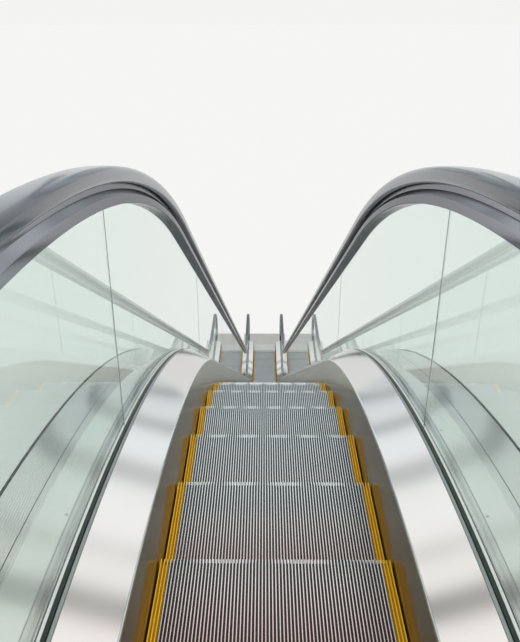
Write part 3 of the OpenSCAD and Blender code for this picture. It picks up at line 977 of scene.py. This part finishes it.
@dataclass
class GuideRails:
    """The stainless guides that carry the handrails on the glass.

    Attributes:
        half: Half their width.
        neck: Half the width of the neck in the rubber.
        top: Lift of the top, and so on for the other edges.
        slot: Half the width of the slot for the glass.
        angle: Degrees that they go round each newel.
        rounding: Points of the rounded shoulder from its corner.
        soft: Size of the neck's rounded edges, edge of the others.
    """

    half: float = 0.031
    neck: float = 0.017
    top: float = -0.0463
    groove: float = -0.064
    shoulder: float = -0.081
    foot: float = -0.106
    slot: float = 0.0053
    slot_top: float = -0.0837
    angle: float = 150.0
    rounding: tuple[tuple[float, float], ...] = ((-0.0020, 0.0022), (-0.0004, 0.0002), (0.0, -0.0014))
    soft: float = 0.001
    edge: float = 0.002

    def section(self) -> Section:
        """Returns the section about the rail centre."""
        h, neck, soft, edge = self.half, self.neck, self.soft, self.edge
        return whole([
            (0.0, self.top), (neck - soft, self.top), (neck, self.top - edge), (neck, self.groove + soft),
            (neck + soft, self.groove), *[(h + dx, self.shoulder + dv) for dx, dv in self.rounding],
            (h, self.foot + edge), (h - edge, self.foot), (self.slot, self.foot), (self.slot, self.slot_top)])

    def line(self) -> Line:
        """Returns the line of the handrail's outer face along the guide."""
        run, r = LAYOUT, LAYOUT.newel_r
        part, rest = math.radians(self.angle), math.radians(180 - self.angle)
        y = run.upper_newel - r * math.sin(rest)
        z = run.level + run.handrail_h - r - r * math.cos(rest)
        return trace(y, z, part, [(r, -part), (run.upper_bend - run.upper_newel, 0.0), *run.bends,
                                  (run.lower_newel - run.lower_bend, 0.0), (r, -part)])

    def build(self) -> None:
        """Makes both guides."""
        rails("handrail-guide", "satin_steel", self.section(), self.line(), Finish.GUIDE, False, 40)


@dataclass
class BalustradeBase:
    """Skirts, decks and the strips at the glass foot.

    Attributes:
        skirt_h: Top of the skirt over the noses, skirt_low its foot.
        deck_h: Top of the decks over the noses.
        clamp: Half the width between the decks at the glass.
        sheet: Thickness of the decks, skirt_t of the skirts.
        hem: Points of the inner deck's hem from the skirt's top, hem_back of its back.
        hem_t: Thickness of the inner deck.
        fillet: Size of the outer deck's rounded edges.
        joint: Gap between two sheets.
        sheet_len: Wanted length of a sheet on the straight.
        inset: How far the decks end before the newel centres.
        seam_w: Half the width of the bead in the deck's seam, bead_w of that on its outer edge.
        screw_from: Run of the first screw, then one every screw_gap, screw_in from the deck's edge.
        screw_head: Radius and height of each ring of a screw, with screw_sides points.
        panel: Wanted length of a panel of glass, with ends for what the end panels add.
        first_joint: First joint past the start of the upper bend.
        last_joint: Last joint before the end of the lower bend.
        joint_head: How far under the handrail's face the joints end.
        lean: How far the joints in the glass lean.
        seal_t: Half the thickness of the seals in them, seal_w half their width.
        lip_t: Half the thickness over their lips, lip_w half the width.
        band: Where the dark band at the glass foot starts and ends, from the foot.
        light: Where the light trim beside it starts.
        gap: What stays free between two parts.
        rim: What stays free beside the decks, strip_inset at the ends of the strips.
        clamp_drop: How far the clamp's top lies under the decks.
        low_rise: How high the low strips stand on it, and so on for the band and the trims; the low strips
            are painted shade in the gaps between the trims.
        outer_foot: Foot of the outer deck's fold over the noses.
        cover_in: Height of the cover's inner fold, cover_out of its outer one.
    """

    skirt_h: float = 0.118
    skirt_low: float = -0.200
    deck_h: float = 0.186
    clamp: float = 0.035
    sheet: float = 0.003
    skirt_t: float = 0.004
    hem: tuple[tuple[float, float], ...] = ((0.0, 0.0002), (0.0, 0.0075), (0.0006, 0.0092), (0.0022, 0.0107))
    hem_back: tuple[tuple[float, float], ...] = ((0.0035, 0.0080), (0.0035, 0.0002))
    hem_t: float = 0.0035
    fillet: float = 0.0012
    glass: float = 0.010
    joint: float = 0.0012
    sheet_len: float = 3.8
    inset: float = 0.020
    screw_from: float = 0.27
    screw_gap: float = 0.460
    screw_in: float = 0.009
    screw_head: tuple[tuple[float, float], ...] = (
        (0.0014, 0.0003), (0.0016, 0.0009), (0.0034, 0.0008), (0.0042, 0.0000))
    screw_sides: int = 12
    seam_w: float = 0.0005
    bead_w: float = 0.0042
    panel: float = 2.0
    ends: float = 0.4
    first_joint: float = 1.040
    last_joint: float = 0.700
    joint_head: float = 0.0845
    lean: float = math.radians(4.0)
    seal_t: float = 0.0051
    seal_w: float = 0.0017
    lip_t: float = 0.0054
    lip_w: float = 0.0026
    band: tuple[float, float] = (0.0080, 0.0178)
    light: float = 0.0202
    gap: float = 0.0003
    rim: float = 0.0008
    strip_inset: float = 0.004
    clamp_drop: float = 0.004
    low_rise: float = 0.0010
    band_rise: float = 0.0048
    trim_rise: float = 0.0044
    outer_rise: float = 0.0040
    outer_foot: float = -0.029
    cover_in: float = 0.045
    cover_out: float = 0.025

    def sheets(self, line: Line) -> list[Line]:
        """Cuts a line where one sheet of the decks ends and the next starts.

        Args:
            line: The nose line over the length of the decks.

        Returns:
            The length of line of every sheet.
        """
        first = LAYOUT.upper_bend - line[0].y
        count = max(1, round(LAYOUT.straight / self.sheet_len))
        marks = [0.0]
        for size in (first, LAYOUT.upper_r * LAYOUT.slope, *[LAYOUT.straight / count] * count,
                     LAYOUT.lower_r * LAYOUT.slope, first):
            marks.append(marks[-1] + size)
        found = []
        for a, b in zip(marks, marks[1:]):
            start, end = a + self.joint / 2, b - self.joint / 2
            inside = [spot for spot in line if start + CLOSE < spot.run < end - CLOSE]
            found.append([at_run(line, start), *inside, at_run(line, end)])
        return found

    def skirt(self) -> Section:
        """Returns the section of the skirt."""
        xs, t = LAYOUT.skirt_x, self.skirt_t
        xt = xs + LAYOUT.skirt_lean
        return [(xs, self.skirt_low), (xs, 0.0), (xt, self.skirt_h), (xt + t, self.skirt_h), (xs + t, 0.0),
                (xs + t, self.skirt_low)]

    def inner(self) -> Section:
        """Returns the folded section of the inner deck."""
        xi, xo = LAYOUT.skirt_x + LAYOUT.skirt_lean, LAYOUT.gauge / 2 - self.clamp
        hem, back = ([(xi + dx, self.skirt_h + dv) for dx, dv in part] for part in (self.hem, self.hem_back))
        top = (xo, self.deck_h)
        bend = tuple(a + (b - a) * 0.02 for a, b in zip(hem[-1], top))
        return [*hem, bend, top, (xo, self.deck_h - self.hem_t), *back]

    def outer(self) -> Section:
        """Returns the folded section of the outer deck."""
        xi, xo, h, t = LAYOUT.gauge / 2 + self.clamp, LAYOUT.half_w, self.deck_h, self.sheet
        return [(xi, h - t), (xi, h), (xo - self.fillet, h), (xo, h - self.fillet), (xo, self.outer_foot),
                (xo - t, self.outer_foot), (xo - t, h - t)]

    def cover(self) -> Section:
        """Returns the folded section of the cover strip beside the outer deck."""
        xi, h, t = LAYOUT.half_w + self.gap, self.deck_h, self.sheet
        xo, low, out = xi + LAYOUT.cover_w, h - self.cover_in, h - self.cover_out
        return [(xi, low), (xi, h - self.fillet), (xi + self.fillet, h), *arc(xo - t, h - t, t, 90, 0, 3),
                (xo, out), (xo - t, out), (xo - t, h - t), (xi + t, h - t), (xi + t, low)]

    def bead(self, x: float, w: float) -> Section:
        """Returns the section of a soft bead on the outer deck.

        Args:
            x: Its middle.
            w: Half its width.

        Returns:
            The section.
        """
        h, rise = self.deck_h, w / 3
        return [(x - w, h - 0.001), (x - w, h + rise / 2), (x - w * 0.7, h + rise), (x + w * 0.7, h + rise),
                (x + w, h + rise / 2), (x + w, h - 0.001)]

    def strip(self, near: float, far: float, rise: float, outer: bool = False) -> Section:
        """Returns the section of a strip at the glass foot.

        Args:
            near: Its edge near the glass, from the glass centre.
            far: Its other edge.
            rise: Its top over the clamp.
            outer: True for the outer face of the glass.

        Returns:
            The section.
        """
        x, h, edge, way = LAYOUT.gauge / 2, self.deck_h - self.clamp_drop, self.rim, 1 if outer else -1
        ring = [(near, h), (near, h + rise - edge / 2), (near + edge, h + rise), (far - edge, h + rise),
                (far, h + rise - edge), (far, h)]
        return [(x + way * w, v) for w, v in ring]

    def build(self) -> None:
        """Makes skirts, decks and gaskets on both sides."""
        start, end = LAYOUT.upper_newel + self.inset, LAYOUT.lower_newel - self.inset
        line = LAYOUT.line(start, end)
        lengths = self.sheets(line)
        for side in Side:
            for stem, section, crease, slot, node, finish in (
                    ("skirt", self.skirt(), 35, "skirt_steel", "skirt", Finish.SKIRT),
                    ("inner-deck", self.inner(), 25, "satin_steel", "inner_deck", Finish.DECK),
                    ("outer-deck", self.outer(), 40, "satin_steel", "outer_deck", Finish.DECK),
                    ("deck-cover", self.cover(), 40, "satin_steel", "", Finish.DECK)):
                shape = mirrored(section, side)
                piece = sweep(f"{stem}.{side.word}", [(shape, part) for part in lengths], False, crease)
                mount(piece, slot, (f"{node}_{side.word}",) if node else (), finish)
        short = LAYOUT.line(start + self.strip_inset, end - self.strip_inset)
        foot, far = self.glass / 2 + self.gap, self.clamp - self.rim
        near, past = (foot + place for place in self.band)
        edge = LAYOUT.half_w + LAYOUT.cover_w - self.bead_w
        beads = [self.bead(LAYOUT.half_w + self.gap / 2, self.seam_w), self.bead(edge, self.bead_w)]
        # The low strips lie under the trims and show as thin near-black lines in the gaps between them:
        # painted shade of those gaps. The taller band is the real dark gasket.
        soft = [self.strip(foot, near, self.low_rise), self.strip(near, past, self.band_rise),
                self.strip(past, far, self.low_rise), self.strip(foot, far, self.low_rise, True)]
        grey = [self.strip(foot + self.light, far - 2 * self.gap, self.trim_rise)]
        pale = [self.strip(foot, near - self.gap / 3, self.trim_rise),
                self.strip(foot, far, self.outer_rise, True)]
        for name, sections, slot, nodes, finish in (
                ("deck-beads", beads, "gasket_rubber", (), Finish.GASKET),
                ("glass-gaskets", soft, "gasket_rubber", ("glass_gaskets",), Finish.GASKET),
                ("gasket-trims", grey, "clamp_aluminium", (), Finish.TRIM),
                ("foot-trims", pale, "clamp_aluminium", (), Finish.DECK)):
            parts = [(mirrored(section, side), short) for side in Side for section in sections]
            mount(sweep(name, parts), slot, nodes, finish)
        self.screws(line)
        self.joints(line)

    def joints(self, line: Line) -> None:
        """Fills the upright joints between the glass panels.

        Args:
            line: The nose line over the length of the decks.
        """
        first = LAYOUT.upper_bend + self.first_joint
        last = LAYOUT.lower_bend - self.last_joint
        count = max(1, round((LAYOUT.straight - self.ends) / self.panel))
        foot = self.deck_h - self.sheet
        knee = LAYOUT.upper_bend + LAYOUT.upper_tangent
        s, v, t, w = self.seal_t, self.seal_w, self.lip_t, self.lip_w
        ring = [(-t, -w), (-s, -w), (-s, -v), (s, -v), (s, -w), (t, -w)]
        ring += [(x, -y) for x, y in reversed(ring)]
        verts, faces = [], []
        for i in range(count + 1):
            y = first + (last - first) * i / count
            fall = min(LAYOUT.rise, max(0.0, (y - knee) * math.tan(LAYOUT.slope)))
            ends = [self.on_joint(line, y, LAYOUT.level - fall, h)
                    for h in (foot, LAYOUT.handrail_h - self.joint_head)]
            for side in Side:
                x = side.value * LAYOUT.gauge / 2
                faces += prism(len(verts), len(ring))
                verts += [(x + dx, yy + dy, zz) for yy, zz in ends for dx, dy in ring]
        mount(wrap("glass-joint-seals", verts, faces), "gasket_rubber", (), Finish.GASKET)

    def on_joint(self, line: Line, y: float, z: float, height: float) -> tuple[float, float]:
        """Finds the point of a leaning joint at a height over the noses.

        Args:
            line: The nose line.
            y: Where the joint crosses the straight nose lines.
            z: Height of that crossing.
            height: Height over the noses.

        Returns:
            Its y and z.
        """
        far = height
        for _ in range(6):
            spot = (y + far * math.sin(self.lean), z + far * math.cos(self.lean))
            far += height - (spot[1] - height_at(line, spot[0]))
        return (y + far * math.sin(self.lean), z + far * math.cos(self.lean))

    def screws(self, line: Line) -> None:
        """Sets a row of countersunk screws along each outer deck.

        Args:
            line: The nose line over the length of the decks.
        """
        rows = Repeater()
        around, profile = self.screw_sides, self.screw_head
        turns = [i * math.tau / around for i in range(around)]
        count = math.ceil((line[-1].run - self.screw_from) / self.screw_gap)
        spots = [at_run(line, self.screw_from + i * self.screw_gap) for i in range(count)]
        for side in Side:
            x = side.value * (LAYOUT.gauge / 2 + self.clamp + self.screw_in)
            verts = [(0.0, 0.0, profile[0][1])]
            verts += [(r * math.cos(t), r * math.sin(t), h) for r, h in profile for t in turns]
            faces = []
            for i in range(around):
                a, b = 1 + i, 1 + (i + 1) % around
                faces.append((0, a, b))
                for k in range(0, (len(profile) - 1) * around, around):
                    faces.append((a + k, a + around + k, b + around + k, b + k))
            head = wrap("screw", verts, faces)
            at = [spot.lifted(x, self.deck_h) for spot in spots]
            piece = rows.lay(f"deck-screws.{side.word}", at, head, Finish.SCREW,
                             [spot.heading for spot in spots])
            mount(piece, "satin_steel", ())


@dataclass
class StepBand:
    """Treads, risers and yellow strips of every step.

    Attributes:
        top: Width of a cleat's top.
        flare: How much wider its foot is on each side.
        nose_r: Radius of its nose, nose_low the nose's lowest point.
        nose_cuts: Degrees at which the round nose is cut.
        flank: How far a face leans that counts as the flank of a cleat, which gets the painted groove shade.
        front: How far the foot of its front lies behind the nose.
        margin: What stays free at the sides of a step, seam between a plate and the edge strips.
        plate: Thickness of the tread's plate.
        fan: Degrees of the riser's curve.
        riser_from: Degrees where its cleats start.
        root: Depth of the riser's cleats.
        shell: Where the riser's plate starts and ends inside the curve.
    """

    top: float = 0.0026
    flare: float = 0.0005
    nose_r: float = 0.0035
    nose_low: float = 0.0086
    nose_cuts: tuple[float, float] = (40, 85)
    flank: float = 0.7
    front: float = 0.0072
    margin: float = 0.0017
    seam: float = 0.0003
    plate: float = 0.004
    fan: float = 30.6
    riser_from: float = 1.2
    root: float = 0.0068
    shell: tuple[float, float] = (0.0066, 0.011)

    @property
    def pitch_x(self) -> float:
        """Returns the spacing of the cleats."""
        return (LAYOUT.step_w - LAYOUT.cleat_w - self.margin) / (LAYOUT.cleats - 1)

    def curve(self, inset: float, start: float, count: int) -> Section:
        """Returns points of the riser's curve.

        Args:
            inset: How far it lies inside the circle of one step's pitch.
            start: Its first angle in degrees.
            count: Parts to cut it into.

        Returns:
            The y and z of each from the nose.
        """
        p, r = LAYOUT.pitch, LAYOUT.pitch - inset
        turns = [math.radians(start + self.fan * i / count) for i in range(count + 1)]
        return [(r * math.cos(t) - p, -r * math.sin(t)) for t in turns]

    def cleat(self, riser: bool) -> Piece:
        """Makes one cleat of the tread or of the riser.

        Args:
            riser: True for the riser's cleat.

        Returns:
            The object, with its nose at the origin.
        """
        h, r, d = LAYOUT.cleat_h, self.nose_r, LAYOUT.tread
        if riser:
            crests, feet = (self.curve(inset, self.riser_from, 5) for inset in (0.0, self.root))
            line = [(*crest, *foot) for crest, foot in zip(crests, feet)]
        else:
            line = [(-d, 0.0, -d, -h), (-r, 0.0, -r - 0.004, -h)]
            line += [(-r + r * math.sin(t), -r + r * math.cos(t), -self.front, -h - 0.0005)
                     for t in map(math.radians, self.nose_cuts)]
            line.append((0.0, -self.nose_low, -self.front, -h - 0.001))
        a, b = self.top / 2, self.top / 2 + self.flare
        verts, faces = [], []
        for y, z, yb, zb in line:
            verts += [(-b, yb, zb), (-a, y, z), (a, y, z), (b, yb, zb)]
        for i in range(0, len(verts) - 4, 4):
            faces += [(i + k, i + k + 1, i + 5 + k, i + 4 + k) for k in range(3)]
        faces += [(0, 3, 2, 1), tuple(range(len(verts) - 4, len(verts)))]
        made = wrap("cleat", verts, faces, None, 30)
        # The flanks take the groove material: painted shade on the cleats' sides, down in the grooves.
        for finish in (Finish.CLEAT, Finish.GROOVE):
            made.data.materials.append(finish.material)
        for face in made.data.polygons:
            face.material_index = int(abs(face.normal.x) >= self.flank)
        return made

    def slab(self, name: str, spots: Section, low: float, high: float) -> Piece:
        """Makes one slab under the cleats of every step.

        Args:
            name: Name of the result.
            spots: The y and z of the noses.
            low: Its left edge.
            high: Its right edge.

        Returns:
            The object.
        """
        top, foot, d = -LAYOUT.cleat_h, -LAYOUT.cleat_h - self.plate, LAYOUT.tread
        ring = [(0.001 - self.front, top), (-self.front, foot), (-d, foot), (-d, top)]
        return bars(name, spots, low, high, ring)

    def build(self) -> None:
        """Makes the cleats and the plates they stand on."""
        rows = Repeater()
        spots = LAYOUT.noses()
        px, strip = self.pitch_x, LAYOUT.strip
        middle = LAYOUT.cleats - 2 * strip
        tx, edge = middle * px / 2, LAYOUT.step_w / 2
        at = [(0.0, y, z) for y, z in spots]
        cleats = rows.lay("tread-cleats", at, self.cleat(False), Finish.CLEAT, None, middle, px, True)
        mount(cleats, "step_aluminium", ("step_treads_upper", "step_treads_middle", "step_treads_lower"))
        risers = rows.lay("riser-cleats", at, self.cleat(True), Finish.CLEAT, None, LAYOUT.cleats, px, True)
        mount(risers, "step_aluminium", ("step_risers",))
        # The tread plates between the cleats are near-black painted shade of the grooves.
        mount(self.slab("tread-plates", spots, -tx, tx), "step_aluminium", (), Finish.GROOVE)
        # The riser plates behind the riser cleats are painted groove shade too.
        face, back = (self.curve(inset, self.riser_from + 0.2, 8) for inset in self.shell)
        shells = bars("riser-plates", spots, -edge, edge, face + back[::-1])
        mount(shells, "step_aluminium", (), Finish.GROOVE)
        for side in Side:
            at = [(side.value * (tx + strip * px / 2), y, z) for y, z in spots]
            yellow = rows.lay(f"edge-cleats.{side.word}", at, self.cleat(False), Finish.YELLOW, None,
                              strip, px)
            mount(yellow, "yellow_plastic", (f"edge_strips_{side.word}",))
            low, high = sorted(side.value * x for x in (tx + self.seam, edge))
            # The edge plates between the yellow cleats take the darker yellow: painted groove shade.
            plates = self.slab(f"edge-plates.{side.word}", spots, low, high)
            mount(plates, "yellow_plastic", (), Finish.YELLOW_LOW)


def solids(name: str) -> list[Piece]:
    """Returns the objects of a node."""
    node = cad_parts[name]
    return list(node) if isinstance(node, (list, tuple)) else [node]


@dataclass
class Landings:
    """Fine ribs along the travel on both landing plates.

    Attributes:
        pace: Spacing across.
        wide: Width of a rib's foot, rise its height, bevel the width of its slopes.
        sunk: How far its foot lies in the plate.
        margin: What stays free at the edges of the plate.
    """

    pace: float = 0.0085
    wide: float = 0.0042
    rise: float = 0.0007
    bevel: float = 0.0005
    sunk: float = 0.0002
    margin: float = 0.010

    def rib(self, length: float) -> Piece:
        """Makes one rib about its middle.

        Args:
            length: Its length in metres.

        Returns:
            The object.
        """
        a, b, r, y = self.wide / 2 - self.bevel, self.wide / 2, self.rise, length / 2
        ring = [(-b, -self.sunk), (-a, r), (a, r), (b, -self.sunk)]
        return wrap("rib", [(x, dy, z) for dy in (-y, y) for x, z in ring], prism(0, 4))

    def build(self) -> None:
        """Sets a row of ribs on each plate, clear of the newels and of the comb."""
        rows = Repeater()
        count = int((2 * LAYOUT.half_w - 2 * self.margin) / self.pace)
        for end in ("upper", "lower"):
            corners = [p.matrix_world @ v.co for p in solids(f"floor_plate_{end}") for v in p.data.vertices]
            top = max(c.z for c in corners)
            edges = sorted({round(c.y, 4) for c in corners})
            low, high = (edges[0], edges[-2]) if end == "upper" else (edges[1], edges[-1])
            rib = self.rib(high - low - 2 * self.margin)
            at = [(0.0, (low + high) / 2, top)]
            ribs = rows.lay(f"landing-ribs.{end}", at, rib, Finish.FLOOR, None, count, self.pace)
            mount(ribs, "satin_steel", ())


class Dresser:
    """Gives the nodes that keep their own shape a material."""

    coats: dict[Finish, str] = {
        Finish.STEEL: "support_angle_upper support_angle_lower end_plate_upper end_plate_lower truss_chords "
                      "truss_posts cross_beams track_plates chain_tracks trailing_tracks",
        Finish.PAINT: "side_cladding_left side_cladding_right soffit_panels",
        Finish.CLAMP: "glass_clamps",
        Finish.GLASS: "glass_left glass_right",
        Finish.BLACK: "inlet_caps_upper inlet_caps_lower",
        Finish.CAP: "base_caps",
        Finish.COMB: "comb_upper comb_lower",
        Finish.FLOOR: "floor_plate_upper floor_plate_lower",
        Finish.CLEAT: "step_treads_upper step_treads_middle step_treads_lower",
        Finish.CASTING: "step_risers step_frames",
        Finish.TYRE: "step_rollers",
        Finish.YELLOW: "edge_strips_left edge_strips_right"}

    def build(self) -> None:
        """Assigns the materials."""
        for finish, names in self.coats.items():
            for piece in [p for name in names.split() for p in solids(name)]:
                if not piece.data.materials:
                    piece.data.materials.append(finish.material)
                for slot in piece.material_slots:
                    slot.material = finish.material


@dataclass
class Studio:
    """Floor, lights and camera.

    Attributes:
        film: Width of the film in mm.
        wide: Width of the picture in pixels, high its height.
        focal: Focal length in pixels.
        axis: Where the camera's axis meets the picture, from its upper left corner.
        key: Strength of the overhead lamp, key_angle how wide it is.
        fill: Strength of the light from all around.
        ahead: Share of the light that comes from down the run, full from bright_from degrees off it.
        rings: Angle and half width of each soft ring in degrees, and its share of the light.
        flank: Share of the light that comes from far out on either side.
        floor_side: How far the floor goes to each side, floor_far how far downhill.
        floor_drop: How far it lies under the machine.
        clip: Nearest and farthest distance that the camera sees.
    """

    film: float = 36.0
    wide: float = 520.0
    high: float = 642.0
    focal: float = 691.2
    axis: tuple[float, float] = (259.27, 388.0)
    pitch: float = math.radians(30.27)
    yaw: float = 0.0068
    eye: Spot = (-0.0334, 1.2817, 1.4759)
    key: float = 1.3
    key_colour: Colour = (1.0, 0.985, 0.965)
    key_angle: float = math.radians(50)
    key_tilt: Spot = (math.radians(-14), math.radians(6), 0.0)
    fill: float = 0.60
    backdrop: Colour = (0.90, 0.90, 0.89)
    soft: Colour = (0.94, 0.965, 1.0)
    sky: Colour = (0.90, 1.0, 1.04)
    zenith: Colour = (1.01, 0.985, 0.965)
    zenith_from: float = 45.0
    ahead: float = 0.62
    bright_from: float = 15.0
    rings: tuple[Spot, ...] = (
        (8.3, 1.1, 0.42), (15.3, 1.7, 0.38), (24.9, 2.6, 0.50), (37.3, 1.8, 0.72), (44.6, 2.5, 0.22),
        (62.0, 4.0, 0.4), (94.0, 6.0, 0.4))
    flank_from: float = 0.50
    flank_to: float = 0.90
    flank: float = 0.85
    floor_side: float = 1500.0
    floor_far: float = 1510.0
    floor_drop: float = 0.002
    clip: tuple[float, float] = (0.02, 200.0)
    floor_tone: Colour = (0.72, 0.715, 0.70)
    floor_glow: Colour = (0.22, 0.22, 0.217)

    def camera(self) -> None:
        """Sets the camera at the photograph's viewpoint."""
        data = bpy.data.cameras.new("photo view")
        data.sensor_fit = "HORIZONTAL"
        data.sensor_width = self.film
        data.lens = self.focal / self.wide * self.film
        data.shift_x = (self.wide / 2 - self.axis[0]) / self.wide
        data.shift_y = (self.axis[1] - self.high / 2) / self.wide
        data.clip_start, data.clip_end = self.clip
        made = put("photo view", data)
        made.location = self.eye
        made.rotation_euler = Euler((math.pi / 2 - self.pitch, 0.0, self.yaw))
        bpy.context.scene.camera = made

    def floor(self) -> None:
        """Lays a plain pale floor under the machine."""
        low, side, far = CAD_BOX[0][2] - self.floor_drop, self.floor_side, self.floor_far
        verts = [(-side, -side, low), (side, -side, low), (side, far, low), (-side, far, low)]
        made = wrap("studio-floor", verts, [(0, 1, 2, 3)])
        paint = Paint("studio floor")
        path = paint.node("LightPath")
        seen = paint.out(path, "Is Camera Ray") + paint.out(path, "Is Transmission Ray")
        seen = seen + paint.out(path, "Is Glossy Ray")
        body = paint.node("BsdfDiffuse", None, Color=self.floor_tone)
        glow = paint.node("Emission", None, Color=self.floor_glow, Strength=seen.clamp())
        paint.close(paint.node("AddShader", None, _0=paint.out(body), _1=paint.out(glow)))
        made.data.materials.append(paint.material)

    def world(self) -> None:
        """Lights the room softly from all around, with soft dark rings for the metal to mirror."""
        paint = SkyPaint("studio")
        way = paint.node("SeparateXYZ", None, Vector=paint.out(paint.node("TexCoord"), "Generated"))
        stops = [(0.0, self.tone(0.0))]
        for at, wide, dark in self.rings:
            shade = tuple(c * dark for c in self.tone(at))
            stops += [((at - wide) / 180, self.tone(at - wide)), ((at - wide / 3) / 180, shade),
                      ((at + wide / 3) / 180, shade), ((at + wide) / 180, self.tone(at + wide))]
        ring = paint.node("ValToRGB", {"stops": stops}, Fac=paint.out(way, 1).arccosine() * (1 / math.pi))
        ring.color_ramp.interpolation = "EASE"
        flank = paint.ramp(abs(paint.out(way, 0)), [(self.flank_from, 1.0), (self.flank_to, self.flank)])
        sky = paint.node("Mix", {"data_type": "RGBA", "blend_type": "MULTIPLY"}, _0=1.0, _6=paint.out(ring),
                         _7=flank)
        path = paint.node("LightPath")
        soft = paint.node("Background", None, Color=self.soft, Strength=self.fill)
        glossy = paint.node("Background", None, Color=paint.out(sky, 2), Strength=1.0)
        plain = paint.node("Background", None, Color=self.backdrop, Strength=1.0)
        seen = (paint.out(path, "Is Camera Ray") + paint.out(path, "Is Transmission Ray")).clamp()
        both = paint.node("MixShader", None, _0=paint.out(path, "Is Glossy Ray"), _1=paint.out(soft),
                          _2=paint.out(glossy))
        last = paint.node("MixShader", None, _0=seen, _1=paint.out(both), _2=paint.out(plain))
        paint.close(last, "OutputWorld")

    def tone(self, angle: float) -> tuple[float, ...]:
        """Gives the light of the sky, dim and cool down the run, warm overhead.

        Args:
            angle: Degrees off the direction of the run.

        Returns:
            Its colour.
        """
        share = min(1.0, angle / self.zenith_from)
        level = self.ahead + (1 - self.ahead) * min(1.0, angle / self.bright_from)
        return tuple(level * (a + (b - a) * share) for a, b in zip(self.sky, self.zenith))

    def lamp(self) -> None:
        """Hangs one wide soft lamp overhead, which the metal doesn't mirror."""
        data = bpy.data.lights.new("soft overhead", "SUN")
        data.energy = self.key
        data.angle = self.key_angle
        data.color = self.key_colour
        made = put("soft overhead", data)
        made.rotation_euler = Euler(self.key_tilt)
        made.visible_glossy = False

    def build(self) -> None:
        """Makes the whole studio."""
        self.camera()
        self.floor()
        self.world()
        self.lamp()
        bpy.context.scene.view_settings.view_transform = "Standard"


def main() -> None:
    """Builds every sub-assembly in order."""
    logging.basicConfig(level=logging.INFO, format="%(name)s %(message)s")
    Studio().build()
    Dresser().build()
    for assembly in (Handrails(), GuideRails(), BalustradeBase(), StepBand(), Landings()):
        LOG.info("building %s", type(assembly).__name__)
        assembly.build()


if __name__ == "__main__":
    main()
